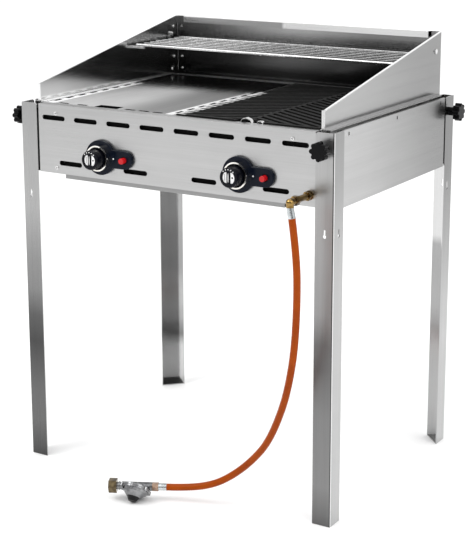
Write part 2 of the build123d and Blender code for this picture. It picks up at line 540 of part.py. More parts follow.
for s in (-1, 1):
    tray += box(s * (TR_WALL - 0.5), s * TR_X, TRAY_Y0, TRAY_Y1, TRAY_TOP - 1.0, TRAY_TOP)
write("drip_tray", tray)
# folded strip welded to the tray's front wall, seen as a band under the front panel
strip = box(-TR_X, TR_X, STRIP_Y, TRAY_Y0, TRAY_Z0, TRAY_Z0 + 1)
strip += box(-TR_X, TR_X, STRIP_Y, STRIP_Y + 1, TRAY_Z0, TRAY_TOP)
write("tray_front_strip", strip)

# panel screws
sc = []
for x, z in SCREWS:
    s = rod("y", FY - 1.8, FY, x, z, 3.6) + rod("y", FY, FY + 6, x, z, 2.0)
    sc.append(s)
write("panel_screws", *sc)

# ------------------------------------------------------------- gas inlet fitting
hexf = Pos(IN_X, FY - 2.0, IN_Z) * Rot(90, 0, 0) * extrude(RegularPolygon(9.2, 6), amount=11.0)
inlet = hexf + rod("y", FY - 12.0, IN_Y + 26, IN_X, IN_Z, 6.2)
inlet += rod("y", FY, FY - 3.0, IN_X, IN_Z, 9.4)
inlet += rod("y", FY + SKIN, FY - 3.0, IN_X, IN_Z, 6.0)
write("inlet_stub", inlet)
nut = Pos(IN_X, IN_Y + 26, IN_Z) * Rot(90, 0, 0) * extrude(RegularPolygon(9.8, 6), amount=11.0)
nut += rod("y", IN_Y + 15, IN_Y + 13, IN_X, IN_Z, 8.6)
write("inlet_nut", nut)
elb = rod("y", IN_Y + 13, IN_Y, IN_X, IN_Z, 7.4) + Pos(IN_X, IN_Y, IN_Z) * Sphere(ELBOW_R)
elb += rod("z", IN_Z, IN_Z - 9, IN_X, IN_Y, 7.4)
write("inlet_elbow", elb)


def along(point, direction, t0, t1, shape_radius):
    """Cylinder about direction through point, from t0 to t1."""
    p = Vector(*point)
    v = Vector(*direction)
    mid = p + v * ((t0 + t1) / 2)
    return Plane(origin=mid, z_dir=v) * Cylinder(shape_radius, abs(t1 - t0))


def cone_along(point, direction, t0, t1, r0, r1):
    p = Vector(*point)
    v = Vector(*direction)
    mid = p + v * ((t0 + t1) / 2)
    return Plane(origin=mid, z_dir=v) * Cone(r0, r1, abs(t1 - t0))


def prism_along(point, direction, t0, t1, radius, x_dir):
    p = Vector(*point) + Vector(*direction) * t0
    pl = Plane(origin=p, x_dir=x_dir, z_dir=Vector(*direction))
    return extrude(pl * RegularPolygon(radius, 6), amount=t1 - t0)


# ---------------------------------------------------------------- hose and ends
p0, p1, pn, pm = (Vector(*HOSE_PATH[0]), Vector(*HOSE_PATH[1]), Vector(*HOSE_PATH[-1]), Vector(*HOSE_PATH[-2]))
t_in = (p1 - p0).normalized()
t_out = (pn - pm).normalized()
# upper ferrule leans with the hose from the elbow's mouth
f_len = (IN_Z - 9 - HOSE_TOP)
fer_a = loft([Plane(origin=(IN_X, IN_Y, IN_Z - 9), z_dir=(0, 0, -1)) * Circle(FERRULE_R - 0.4),
              Plane(origin=HOSE_PATH[0], z_dir=t_in) * Circle(FERRULE_R)])
write("ferrule_inlet", fer_a)
back_dir = (-REG_U[0], -REG_U[1], -REG_U[2])
FER_L = 16.5
fer_b = along(HOSE_PATH[-1], back_dir, 0.0, FER_L, FERRULE_R)
write("ferrule_regulator", fer_b)

radii = []
for i in range(1, len(HOSE_PATH) - 1):
    a, b, c = (Vector(*q) for q in HOSE_PATH[i - 1:i + 2])
    u, v = b - a, c - b
    half = math.radians(u.get_angle(v)) / 2
    radii.append(0.45 * min(u.length, v.length) / math.tan(half))
spine = FilletPolyline(*HOSE_PATH, radius=radii)
hose = sweep(Plane(origin=HOSE_PATH[0], z_dir=t_in) * Circle(HOSE_R), path=spine)
print("hose radii", [round(r) for r in radii], "length", round(spine.length, 1),
      "volume ratio", round(hose.volume / (math.pi * HOSE_R ** 2 * spine.length), 4))
write("hose", hose)

# small nut between ferrule and regulator
e_pt = HOSE_PATH[-1]
T_BODY = 62.0
sn = prism_along(e_pt, back_dir, FER_L, FER_L + 12.5, 9.0, REG_V)
write("regulator_hose_nut", sn)

# regulator: round diaphragm housing below the line, inlet and outlet necks
neg = (-REG_N[0], -REG_N[1], -REG_N[2])
REG_D = tuple(c + n * REG_DROP for c, n in zip(REG_C, REG_N))
PROFILE = [(0, -9.5), (17.0, -9.5), (REG_R - 5.2, -3.6), (REG_R, -3.6), (REG_R, -0.55), (REG_R - 1.0, -0.55), (REG_R - 1.0, 0.55),
           (REG_R, 0.55), (REG_R, 3.4), (REG_R - 3.0, 3.4), (REG_R - 5.5, 8.0), (REG_R - 6.6, 8.0), (14.5, 17.5), (0, 17.5)]
rb = revolve(Plane.XZ * make_face(Polyline(*PROFILE, close=True)), axis=Axis.Z)
for k in range(6):
    w = math.radians(60 * k + 17)
    rb += Pos((REG_R - 0.4) * math.cos(w), (REG_R - 0.4) * math.sin(w), -0.1) * Cylinder(2.7, 7.6)
rb = Plane(origin=REG_D, x_dir=REG_V, z_dir=REG_N) * rb
rb += along(REG_C, REG_U, -30.0, 33.2, 9.0)
END = FER_L + 12.5
rb -= along(e_pt, back_dir, -5, END, 12.0)
rb -= along(e_pt, back_dir, 92.5, 140, 40)
write("regulator_body", rb)
neck = along(e_pt, back_dir, 92.5, 102.0, 7.2) + along(e_pt, back_dir, 95.0, 98.0, 8.6) + along(e_pt, back_dir, 102.0, 104.6, 9.4)
write("regulator_neck", neck)
cap = cone_along(REG_D, REG_N, 17.5, 26.0, 13.0, 8.0)
for k in range(10):
    w = math.radians(36 * k)
    q = Vector(*REG_V) * math.cos(w) + Vector(*REG_N).cross(Vector(*REG_V)) * math.sin(w)
    cap -= along(Vector(*REG_D) + q * 13.6, REG_N, 18.5, 27.0, 1.6)
write("regulator_cap", cap)
un = prism_along(e_pt, back_dir, 101.6, 118.6, 15.2, REG_V)
un = chamfer(un.edges().filter_by(lambda e: abs(e.center().sub(Vector(*e_pt)).dot(Vector(*back_dir)) - 118.6) < 0.01), 1.2)
un -= along(e_pt, back_dir, 101.0, 105.0, 7.25) + along(e_pt, back_dir, 101.65, 105.2, 9.5)
un -= along(e_pt, back_dir, 105.15, 120.0, 10.5)
write("regulator_union_nut", un)
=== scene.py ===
import math

import bmesh
import bpy
from mathutils import Matrix, Vector


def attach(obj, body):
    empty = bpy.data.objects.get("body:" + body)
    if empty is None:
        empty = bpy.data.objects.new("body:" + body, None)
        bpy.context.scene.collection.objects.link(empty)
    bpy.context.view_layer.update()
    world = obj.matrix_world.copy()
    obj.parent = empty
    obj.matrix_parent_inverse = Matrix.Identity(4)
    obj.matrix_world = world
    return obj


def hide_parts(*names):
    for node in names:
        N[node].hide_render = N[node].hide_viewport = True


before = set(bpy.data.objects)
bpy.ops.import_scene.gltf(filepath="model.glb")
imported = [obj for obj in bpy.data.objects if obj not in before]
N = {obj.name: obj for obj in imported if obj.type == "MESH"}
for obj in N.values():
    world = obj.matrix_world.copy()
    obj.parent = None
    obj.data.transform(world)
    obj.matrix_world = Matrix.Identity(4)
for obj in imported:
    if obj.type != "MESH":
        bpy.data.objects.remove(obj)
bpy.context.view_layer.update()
YS = 0.0265            # the CAD frame's shift along Y
scene = bpy.context.scene
scene.view_settings.view_transform = "Standard"
scene.view_settings.look = "None"


def P(x, y, z):
    """Millimetres about the leg footprint -> metres in the row frame."""
    return Vector((x / 1000, y / 1000 + YS, z / 1000))


# ------------------------------------------------------------------- camera
cam_d = bpy.data.cameras.new("camera")
cam = bpy.data.objects.new("camera", cam_d)
scene.collection.objects.link(cam)
scene.camera = cam
az, el, roll = math.radians(31.711), math.radians(12.775), math.radians(-0.147)
f = Vector((-math.sin(az) * math.cos(el), math.cos(az) * math.cos(el), -math.sin(el)))
r = f.cross(Vector((0, 0, 1))).normalized()
u = r.cross(f)
r2 = r * math.cos(roll) + u * math.sin(roll)
u2 = -r * math.sin(roll) + u * math.cos(roll)
rot = Matrix((r2, u2, -f)).transposed()
cam.matrix_world = Matrix.Translation(P(1641.6, -2685.3, 1274.7)) @ rot.to_4x4()
cam_d.sensor_fit = "AUTO"
cam_d.sensor_width = 36.0
cam_d.lens = 1501.1 / 540 * 36.0
cam_d.shift_x = (235 - 233.3) / 540
cam_d.shift_y = (200.0 - 270) / 540
cam_d.clip_start, cam_d.clip_end = 0.05, 200

# ---------------------------------------------------------------- materials


def new_mat(name):
    m = bpy.data.materials.new(name)
    m.use_nodes = True
    nt = m.node_tree
    nt.nodes.clear()
    out = nt.nodes.new("ShaderNodeOutputMaterial")
    b = nt.nodes.new("ShaderNodeBsdfPrincipled")
    nt.links.new(b.outputs["BSDF"], out.inputs["Surface"])
    return m, nt, b


def nd(nt, kind, **kw):
    n = nt.nodes.new(kind)
    for k, v in kw.items():
        setattr(n, k, v)
    return n


def val(n, name, v):
    n.inputs[name].default_value = v
    return n


def coords(nt, scale, loc=(0, 0, 0), kind="Object", rotation=(0, 0, 0)):
    tc = nd(nt, "ShaderNodeTexCoord")
    mp = nd(nt, "ShaderNodeMapping")
    mp.inputs["Scale"].default_value = scale
    mp.inputs["Location"].default_value = loc
    mp.inputs["Rotation"].default_value = rotation
    nt.links.new(tc.outputs[kind], mp.inputs["Vector"])
    return mp.outputs["Vector"]


def noise(nt, vec, scale=1.0, detail=4.0, rough=0.5, distortion=0.0):
    n = nd(nt, "ShaderNodeTexNoise")
    val(n, "Scale", scale)
    val(n, "Detail", detail)
    val(n, "Roughness", rough)
    val(n, "Distortion", distortion)
    nt.links.new(vec, n.inputs["Vector"])
    return n.outputs["Fac"]


def ramp(nt, fac, stops):
    n = nd(nt, "ShaderNodeValToRGB")
    e = n.color_ramp.elements
    while len(e) > 1:
        e.remove(e[-1])
    e[0].position, e[0].color = stops[0][0], tuple(stops[0][1]) + (1,)
    for p, c in stops[1:]:
        x = e.new(p)
        x.color = tuple(c) + (1,)
    nt.links.new(fac, n.inputs["Fac"])
    return n.outputs["Color"]


def gray(v):
    return (v, v, v)


def remap(nt, fac, a, b, c, d, clamp=True, smooth=False):
    n = nd(nt, "ShaderNodeMapRange")
    n.clamp = clamp
    if smooth:
        n.interpolation_type = "SMOOTHSTEP"
    for k, v in zip(("From Min", "From Max", "To Min", "To Max"), (a, b, c, d)):
        val(n, k, v)
    nt.links.new(fac, n.inputs["Value"])
    return n.outputs["Result"]


def math_n(nt, op, a, b=None):
    n = nd(nt, "ShaderNodeMath", operation=op)
    for i, x in enumerate((a, b)):
        if x is None:
            continue
        if isinstance(x, (int, float)):
            n.inputs[i].default_value = x
        else:
            nt.links.new(x, n.inputs[i])
    return n.outputs[0]


def mixc(nt, fac, a, b, blend="MIX"):
    n = nd(nt, "ShaderNodeMix", data_type="RGBA", blend_type=blend)
    for key, x in ((0, fac), (6, a), (7, b)):
        if isinstance(x, (int, float)):
            n.inputs[key].default_value = x
        elif isinstance(x, tuple):
            n.inputs[key].default_value = x + (1,) if len(x) == 3 else x
        else:
            nt.links.new(x, n.inputs[key])
    return n.outputs[2]


def bump(nt, b, height, strength, distance=0.001, normal=None):
    n = nd(nt, "ShaderNodeBump")
    val(n, "Strength", strength)
    val(n, "Distance", distance)
    nt.links.new(height, n.inputs["Height"])
    if normal is not None:
        nt.links.new(normal, n.inputs["Normal"])
    nt.links.new(n.outputs["Normal"], b.inputs["Normal"])
    return n.outputs["Normal"]


def axis_of(nt, which, kind="Object"):
    tc = nd(nt, "ShaderNodeTexCoord")
    s = nd(nt, "ShaderNodeSeparateXYZ")
    nt.links.new(tc.outputs[kind], s.inputs[0])
    return s.outputs["XYZ".index(which)]


def facing(nt, which, sign, lo=0.5, hi=0.8):
    """1 on faces that look along the given object axis, 0 elsewhere."""
    s = axis_of(nt, which, "Normal")
    return remap(nt, math_n(nt, "MULTIPLY", s, float(sign)), lo, hi, 0.0, 1.0)


def beyond(nt, nx, ny, nz, d, soft=0.0004):
    """1 where nx*x + ny*y + nz*z > d in object space (metres), 0 elsewhere."""
    s = None
    for ax, k in (("X", nx), ("Y", ny), ("Z", nz)):
        if k:
            t = math_n(nt, "MULTIPLY", axis_of(nt, ax), float(k))
            s = t if s is None else math_n(nt, "ADD", s, t)
    return remap(nt, s, d - soft, d + soft, 0.0, 1.0)


def sheet_steel(name, lo, hi, rough, grain, painted_light_grade=None, wave=0.0, faces=None, rough_to=None, painted_fold_lines=None, painted_wall_shade=None, matte=None):
    """Rolled stainless sheet: fine grain along one axis, faint roll marks and handling smudges.
    grain is the direction of the brushing; grade = (axis, start, end, factor at start, factor at end)."""
    m, nt, b = new_mat(name)
    fine = {"X": (6, 900, 900), "Y": (900, 6, 900), "Z": (900, 900, 6)}[grain]
    mid = {"X": (1.2, 60, 60), "Y": (60, 1.2, 60), "Z": (60, 60, 1.2)}[grain]
    g1 = noise(nt, coords(nt, fine), 1.0, 3.0, 0.6)
    g2 = noise(nt, coords(nt, mid), 1.0, 4.0, 0.55)
    cloud = noise(nt, coords(nt, (3.2, 3.2, 3.2), (0.7, 0.1, 0.4)), 1.0, 3.0, 0.5, 0.6)
    c = ramp(nt, cloud, [(0.25, gray(lo)), (0.75, gray(hi))])
    line = ramp(nt, g2, [(0.3, gray(0.945)), (0.7, gray(1.035))])
    c = mixc(nt, 1.0, c, line, "MULTIPLY")
    line2 = ramp(nt, g1, [(0.3, gray(0.94)), (0.7, gray(1.05))])
    c = mixc(nt, 1.0, c, line2, "MULTIPLY")
    # painted shade and painted reflection: the colour is multiplied by a gradient along an object axis
    if painted_light_grade:
        for ax, s, e, fs, fe in painted_light_grade:
            k = remap(nt, axis_of(nt, ax), s, e, fs, fe, smooth=True)
            c = mixc(nt, 1.0, c, k, "MULTIPLY")
    # painted shade and painted reflection: on faces looking along one axis the colour is multiplied by a ramp of stops
    # or a gradient
    for fax, sign, ax, *rest in faces or ():
        if isinstance(rest[0], list):      # stops: height in metres, factor
            stops = [(z / 0.8, gray(v)) for z, v in rest[0]]
            k = ramp(nt, math_n(nt, "DIVIDE", axis_of(nt, ax), 0.8), stops)
        else:
            s, e, fs, fe = rest
            k = remap(nt, axis_of(nt, ax), s, e, fs, fe, smooth=True)
        c = mixc(nt, facing(nt, fax, sign), c, mixc(nt, 1.0, c, k, "MULTIPLY"))
    # painted shade: every face except the upward ones is darkened by this factor, so the slot walls read dark
    if painted_wall_shade is not None:
        c = mixc(nt, facing(nt, "Z", 1), mixc(nt, 1.0, c, gray(painted_wall_shade), "MULTIPLY"), c)
    for level, *planes in painted_fold_lines or ():      # painted highlight lines along folds and rims, and painted shade lines where the level is dark
        k = None
        for q in planes:
            t = facing(nt, "Z", 1) if q == "top" else beyond(nt, *q)
            k = t if k is None else math_n(nt, "MULTIPLY", k, t)
        c = mixc(nt, k, c, gray(level))
    nt.links.new(c, b.inputs["Base Color"])
    b.inputs["Metallic"].default_value = 1.0
    if matte:       # strip made less mirror-like, so the painted highlight band on it reads white
        k = None
        for q in matte:
            t = facing(nt, "Z", 1) if q == "top" else beyond(nt, *q)
            k = t if k is None else math_n(nt, "MULTIPLY", k, t)
        nt.links.new(remap(nt, k, 0.0, 1.0, 1.0, 0.25), b.inputs["Metallic"])
    rr = math_n(nt, "ADD", remap(nt, g1, 0.3, 0.7, rough - 0.04, rough + 0.05), remap(nt, cloud, 0.3, 0.7, -0.03, 0.04))
    for ax, s, e, fs, fe in rough_to or ():
        rr = math_n(nt, "ADD", rr, remap(nt, axis_of(nt, ax), s, e, fs, fe, smooth=True))
    nt.links.new(rr, b.inputs["Roughness"])
    h = math_n(nt, "ADD", math_n(nt, "MULTIPLY", g1, 0.02), math_n(nt, "MULTIPLY", noise(nt, coords(nt, (2.4, 2.4, 2.4)), 1.0, 1.0), wave))
    bump(nt, b, h, 0.35, 0.002)
    return m


def put(mat, *nodes):
    for n in nodes:
        o = N[n]
        if not o.material_slots:
            o.data.materials.append(mat)
        for s in o.material_slots:
            s.material = mat


def smooth_plastic(name, col, rough, grain=0.15, spec=0.5, coat=0.0):
    m, nt, b = new_mat(name)
    n1 = noise(nt, coords(nt, (700, 700, 700)), 1.0, 2.0, 0.6)
    n2 = noise(nt, coords(nt, (26, 26, 26)), 1.0, 3.0, 0.5)
    c = ramp(nt, n2, [(0.3, tuple(x * 0.82 for x in col)), (0.7, tuple(x * 1.15 for x in col))])
    nt.links.new(c, b.inputs["Base Color"])
    nt.links.new(remap(nt, n2, 0.3, 0.7, rough - 0.06, rough + 0.06), b.inputs["Roughness"])
    b.inputs["Specular IOR Level"].default_value = spec
    b.inputs["Coat Weight"].default_value = coat
    bump(nt, b, n1, grain, 0.0004)
    return m


def turned_metal(name, lo, hi, rough, scale=340.0, tarnish=None, wire=False):
    m, nt, b = new_mat(name)
    n1 = noise(nt, coords(nt, (scale, scale, scale)), 1.0, 3.0, 0.6)
    n2 = noise(nt, coords(nt, (60, 60, 60), (0.3, 0.2, 0.9)), 1.0, 4.0, 0.6, 0.4)
    c = ramp(nt, n2, [(0.3, lo), (0.68, hi)])
    if tarnish:
        c = mixc(nt, remap(nt, n2, 0.28, 0.42, 0.8, 0.0), c, tarnish)
    if wire:        # painted light, brighter towards one end, and a painted highlight on the front rod
        c = mixc(nt, 1.0, c, remap(nt, axis_of(nt, "X"), -0.25, 0.0, 1.7, 0.88, smooth=True), "MULTIPLY")
        c = mixc(nt, beyond(nt, 0, -1, 0, -0.115), c, gray(0.62))
    nt.links.new(c, b.inputs["Base Color"])
    b.inputs["Metallic"].default_value = 1.0
    nt.links.new(remap(nt, n2, 0.3, 0.7, rough + 0.10, rough - 0.05), b.inputs["Roughness"])
    bump(nt, b, n1, 0.25, 0.0006)
    return m


M = {}
M["panel"] = sheet_steel("panel_steel", 0.45, 0.51, 0.32, "X")
M["strip"] = sheet_steel("strip_steel", 0.26, 0.32, 0.36, "X")
M["inner"] = sheet_steel("inner_steel", 0.10, 0.16, 0.45, "X")
# side panels: painted shade, darker towards the back
M["side"] = sheet_steel("side_steel", 0.46, 0.54, 0.30, "Y", painted_light_grade=[("Y", -0.25, 0.29, 1.0, 0.54)])
# legs: one copy of the steel per leg, darker or brighter as a whole, with painted reflections and painted shade graded
# by height on the front and side faces; on the front right leg, a painted shade line and a painted highlight line at
# the corner bend
M["leg_fl"] = sheet_steel("leg_steel_fl", 0.56, 0.64, 0.25, "Z", faces=[
    ("Y", -1, "Z", [(0.0, 0.13), (0.08, 0.23), (0.15, 0.22), (0.26, 0.115), (0.32, 0.17), (0.38, 0.34), (0.45, 0.40), (0.56, 0.60), (0.70, 0.63)]),
    ("X", -1, "Z", 0.0, 0.62, 0.6, 1.0)])
M["leg_fr"] = sheet_steel("leg_steel_fr", 0.56, 0.64, 0.34, "Z", painted_fold_lines=[(0.10, (1, 0, 0, 0.3676), (0, -1, 0, 0.2449)), (0.90, (1, 0, 0, 0.3694), (0, -1, 0, 0.2425), (0, 1, 0, -0.2449))], faces=[
    ("Y", -1, "Z", [(0.0, 0.23), (0.08, 0.38), (0.22, 0.34), (0.32, 0.25), (0.37, 0.27), (0.43, 0.49), (0.50, 0.52), (0.60, 0.60), (0.70, 0.72)]),
    ("X", 1, "Z", [(0.0, 0.82), (0.40, 0.78), (0.56, 0.76), (0.62, 0.69), (0.70, 0.60), (0.78, 0.55)])])
M["leg_br"] = sheet_steel("leg_steel_br", 0.60, 0.68, 0.16, "Z", wave=0.5, faces=[
    ("Y", -1, "Z", [(0.0, 0.57), (0.08, 0.66), (0.22, 0.65), (0.26, 0.48), (0.31, 0.56), (0.40, 0.50), (0.45, 0.52), (0.47, 0.90), (0.62, 0.88)]),
    ("X", 1, "Z", [(0.0, 0.78), (0.25, 0.76), (0.33, 0.70), (0.43, 0.55), (0.54, 0.46), (0.63, 0.355), (0.78, 0.35)])])
M["leg_bl"] = sheet_steel("leg_steel_bl", 0.22, 0.44, 0.12, "Z", wave=0.9, faces=[
    ("Y", -1, "Z", [(0.0, 1.6), (0.10, 1.5), (0.13, 0.6), (0.17, 1.1), (0.24, 1.2), (0.30, 0.9), (0.44, 0.9)])])
# hob frame: a painted highlight band on top of the left rim
M["frame"] = sheet_steel("hob_steel", 0.72, 0.82, 0.28, "Y", painted_fold_lines=[(0.95, "top", (-1, 0, 0, 0.3255), (0, -1, 0, -0.105, 0.004))], matte=["top", (-1, 0, 0, 0.3255), (0, -1, 0, -0.105, 0.004)])
# wind guards: one copy of the steel per guard, with painted shade and painted reflection gradients, and painted
# highlight and shade lines along the hems and top edges
M["guard"] = sheet_steel("guard_steel", 0.44, 0.50, 0.15, "X", wave=0.2, painted_light_grade=[("X", 0.0, 0.2, 1.0, 0.54)], faces=[("Y", -1, "X", -0.33, 0.0, 0.22, 0.80), ("Y", -1, "Z", 0.858, 0.886, 0.22, 1.0)],
                        painted_fold_lines=[(0.30, (0, -1, 0, -0.2865), (0, 0, 1, 0.902)), (0.66, (0, -1, 0, -0.2865), (0, 0, 1, 0.902), (1, 0, 0, -0.045, 0.003)), (0.75, (0, 0, 1, 0.9155))])
M["guard_right"] = sheet_steel("guard_right_steel", 0.42, 0.48, 0.22, "Y", wave=0.1, painted_light_grade=[("Y", -0.22, 0.28, 1.0, 0.66)], faces=[("X", -1, "Y", -0.22, 0.2, 0.7, 0.3)],
                              painted_fold_lines=[(0.92, (0, -0.1873, 1, 0.8604)), (0.66, (0, -1, 0, 0.2252)), (0.80, (1, 0, 0, 0.3395, 0.0003), (0, 0, -1, -0.7845))])
M["guard_left"] = sheet_steel("guard_left_steel", 0.50, 0.58, 0.15, "Y", wave=0.1, faces=[("X", 1, "Y", -0.23, 0.06, 1.7, 1.1)],
                             painted_fold_lines=[(0.92, (0, -0.1873, 1, 0.8604)), (0.88, (0, -1, 0, 0.2252))])
# griddle: painted reflection, darker towards the back and the left, and rougher towards the front; painted shade on the
# slot walls; painted highlight lines on the left rim and along the middle division
M["griddle"] = sheet_steel("griddle_steel", 0.61, 0.68, 0.13, "Y", wave=0.1, painted_light_grade=[("Y", 0.125, 0.185, 1.0, 0.35), ("X", -0.19, -0.08, 1.0, 0.42)], rough_to=[("Y", 0.02, 0.16, 0.32, 0.0)], painted_wall_shade=0.05,
                          painted_fold_lines=[(0.97, "top", (-1, 0, 0, 0.3035), (0, -1, 0, -0.105, 0.004)), (0.92, "top", (1, 0, 0, -0.0235), (0, -1, 0, -0.105, 0.004))],
                          matte=["top", (-1, 0, 0, 0.3035), (0, -1, 0, -0.105, 0.004)])
M["burner"] = turned_metal("burner_steel", (0.06, 0.055, 0.05), (0.16, 0.15, 0.14), 0.5)
M["plated"] = turned_metal("plated_steel", (0.50, 0.50, 0.50), (0.66, 0.66, 0.65), 0.24)
M["bolt"] = turned_metal("bolt_steel", (0.62, 0.62, 0.62), (0.82, 0.82, 0.82), 0.18)
M["chrome"] = turned_metal("rack_wire", (0.21, 0.21, 0.21), (0.32, 0.32, 0.32), 0.24, wire=True)
M["brass"] = turned_metal("brass", (0.065, 0.036, 0.011), (0.42, 0.27, 0.09), 0.15, 900.0, tarnish=(0.03, 0.018, 0.008))
M["union"] = turned_metal("union_brass", (0.035, 0.024, 0.015), (0.22, 0.17, 0.095), 0.12, 900.0, tarnish=(0.012, 0.008, 0.006))
M["copper"] = turned_metal("hose_nut_copper", (0.24, 0.15, 0.10), (0.60, 0.43, 0.33), 0.14, 900.0, tarnish=(0.06, 0.04, 0.025))
M["zinc"] = turned_metal("zinc_casting", (0.13, 0.13, 0.135), (0.34, 0.345, 0.35), 0.18)
M["collar"] = turned_metal("collar_metal", (0.70, 0.68, 0.64), (0.86, 0.84, 0.80), 0.10)
M["ferrule"] = turned_metal("ferrule_steel", (0.36, 0.38, 0.38), (0.70, 0.74, 0.76), 0.16)
M["black"] = smooth_plastic("black_plastic", (0.003, 0.003, 0.0034), 0.24, spec=0.10)
M["knob"] = smooth_plastic("knob_plastic", (0.003, 0.0034, 0.006), 0.20, spec=0.12)
M["bezel"] = smooth_plastic("bezel_plastic", (0.0035, 0.0055, 0.012), 0.20, 0.05, 0.11)
M["red"] = smooth_plastic("red_plastic", (0.48, 0.008, 0.012), 0.22, 0.05, 0.35)
M["cap"] = smooth_plastic("cap_plastic", (0.006, 0.006, 0.006), 0.40, spec=0.22)
M["white"] = smooth_plastic("mark_white", (0.86, 0.86, 0.86), 0.40, 0.05)
# flat black for the heat shield, a dark sheet standing in for the shade inside the housing; also used on the corner
# posts and the screw recesses
M["soot"] = smooth_plastic("shield_black", (0.006, 0.006, 0.006), 0.75, 0.3, spec=0.12)


def cast_iron():
    m, nt, b = new_mat("grate_iron")
    n1 = noise(nt, coords(nt, (420, 420, 420)), 1.0, 6.0, 0.7)
    n2 = noise(nt, coords(nt, (34, 34, 34)), 1.0, 5.0, 0.6, 0.5)
    c = ramp(nt, n2, [(0.28, (0.004, 0.004, 0.004)), (0.55, (0.008, 0.008, 0.0078)), (0.8, (0.020, 0.0195, 0.019))])
    # painted highlight: upward faces near the left edge, towards the front, lightened in noisy patches as glints on the
    # rib tops
    painted_glint = math_n(nt, "MULTIPLY", math_n(nt, "MULTIPLY", beyond(nt, -1, 0, 0, -0.0245), beyond(nt, 0, -1, 0, -0.105, 0.004)), facing(nt, "Z", 1))
    c = mixc(nt, math_n(nt, "MULTIPLY", painted_glint, remap(nt, n2, 0.35, 0.5, 0.45, 1.0)), c, gray(0.55))
    nt.links.new(c, b.inputs["Base Color"])
    b.inputs["Metallic"].default_value = 0.1
    b.inputs["Specular IOR Level"].default_value = 0.09
    nt.links.new(remap(nt, n2, 0.3, 0.7, 0.46, 0.70), b.inputs["Roughness"])
    bump(nt, b, n1, 0.5, 0.0010)
    return m


M["iron"] = cast_iron()


def hose_rubber():
    m, nt, b = new_mat("hose_rubber")
    n1 = noise(nt, coords(nt, (900, 900, 900)), 1.0, 3.0, 0.6)
    n2 = noise(nt, coords(nt, (18, 18, 18)), 1.0, 4.0, 0.6)
    c = ramp(nt, n2, [(0.3, (0.265, 0.039, 0.001)), (0.7, (0.355, 0.060, 0.0015))])
    nt.links.new(c, b.inputs["Base Color"])
    nt.links.new(remap(nt, n2, 0.3, 0.7, 0.26, 0.34), b.inputs["Roughness"])
    b.inputs["Specular IOR Level"].default_value = 0.10
    bump(nt, b, n1, 0.18, 0.0006)
    return m


M["hose"] = hose_rubber()

put(M["panel"], "front_panel", "back_panel", "drip_tray")
put(M["strip"], "tray_front_strip")
put(M["inner"], "cross_rails", "tray_runners")
put(M["soot"], "corner_posts", "heat_shield")
put(M["side"], "side_panel_left", "side_panel_right")
put(M["leg_fl"], "leg_front_left")
put(M["leg_fr"], "leg_front_right")
put(M["leg_bl"], "leg_back_left")
put(M["leg_br"], "leg_back_right")
put(M["frame"], "hob_frame")
put(M["guard"], "wind_guard_back")
put(M["guard_left"], "wind_guard_left")
put(M["guard_right"], "wind_guard_right")
put(M["griddle"], "griddle_plate")
put(M["iron"], "grill_grate")
put(M["chrome"], "warming_rack")
put(M["bolt"], "guard_bolts", "rack_pegs", "panel_screws", "grate_lift_strip")
put(M["plated"], "weld_nuts", "valve_stem_left", "valve_stem_right", "gas_manifold", "ignition_leads", "thermocouples")
put(M["ferrule"], "ferrule_inlet", "ferrule_regulator")
put(M["burner"], "burner_tubes", "flame_tamers", "burner_saddles", "tamer_props")
put(M["brass"], "gas_valves", "gas_injectors", "inlet_stub", "inlet_nut", "inlet_elbow")
put(M["copper"], "regulator_hose_nut")
put(M["union"], "regulator_union_nut")
put(M["zinc"], "regulator_body", "regulator_neck")
put(M["collar"], "control_collars")
put(M["black"], "star_knob_fl", "star_knob_fr", "star_knob_br", "star_knob_bl", "piezo_igniters")
put(M["knob"], "control_knob_left", "control_knob_right")
put(M["bezel"], "control_bezels")
put(M["red"], "igniter_button_left", "igniter_button_right")
put(M["cap"], "regulator_cap")

# --------------------------------------------------------------------- hose
HOSE_PATH = [
    (322.0, -345.0, 631.0), (331.3, -342.2, 557.2), (333.1, -342.6, 472.4), (326.2, -338.8, 378.0),
    (311.8, -331.7, 309.8), (291.7, -321.5, 248.2), (250.8, -303.7, 165.8), (211.6, -298.2, 116.8),
    (166.1, -298.0, 74.7), (123.3, -304.2, 46.9), (71.3, -317.2, 32.7), (27.0, -333.0, 30.0),
]
cu = bpy.data.curves.new("gas_hose", "CURVE")
cu.dimensions = "3D"
sp = cu.splines.new("NURBS")
sp.points.add(len(HOSE_PATH) - 1)
for pt, q in zip(sp.points, HOSE_PATH):
    pt.co = (*P(*q), 1.0)
sp.order_u = 3
sp.use_endpoint_u = True
sp.resolution_u = 16
cu.bevel_depth = 0.0071
cu.bevel_resolution = 8
cu.use_fill_caps = True
hose = bpy.data.objects.new("gas_hose", cu)
scene.collection.objects.link(hose)
cu.materials.append(M["hose"])
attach(hose, "housing")
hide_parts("hose")


def mesh_piece(name, bm, mat, body, smooth=False):
    me = bpy.data.meshes.new(name)
    bmesh.ops.recalc_face_normals(bm, faces=bm.faces)
    bm.to_mesh(me)
    bm.free()
    if smooth:
        me.shade_smooth()
    me.materials.append(mat)
    o = bpy.data.objects.new(name, me)
    scene.collection.objects.link(o)
    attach(o, body)
    return o


def disc_prism(bm, c, ax, outline, t):
    """Prism of an outline (list of (a, b) in mm along X and Z) standing on the plane y=c[1], t mm proud to -Y."""
    lo = [bm.verts.new(P(c[0] + a, c[1], c[2] + b)) for a, b in outline]
    hi = [bm.verts.new(P(c[0] + a, c[1] - t, c[2] + b)) for a, b in outline]
    n = len(outline)
    bm.faces.new(hi)
    bm.faces.new(lo[::-1])
    for i in range(n):
        j = (i + 1) % n
        bm.faces.new((lo[i], lo[j], hi[j], hi[i]))


# ------------------------------------------------------------------ knob marks
FACE_Y = -271 - 8 - 4 - 1 - 30
BEZEL_Y = -271 - 8


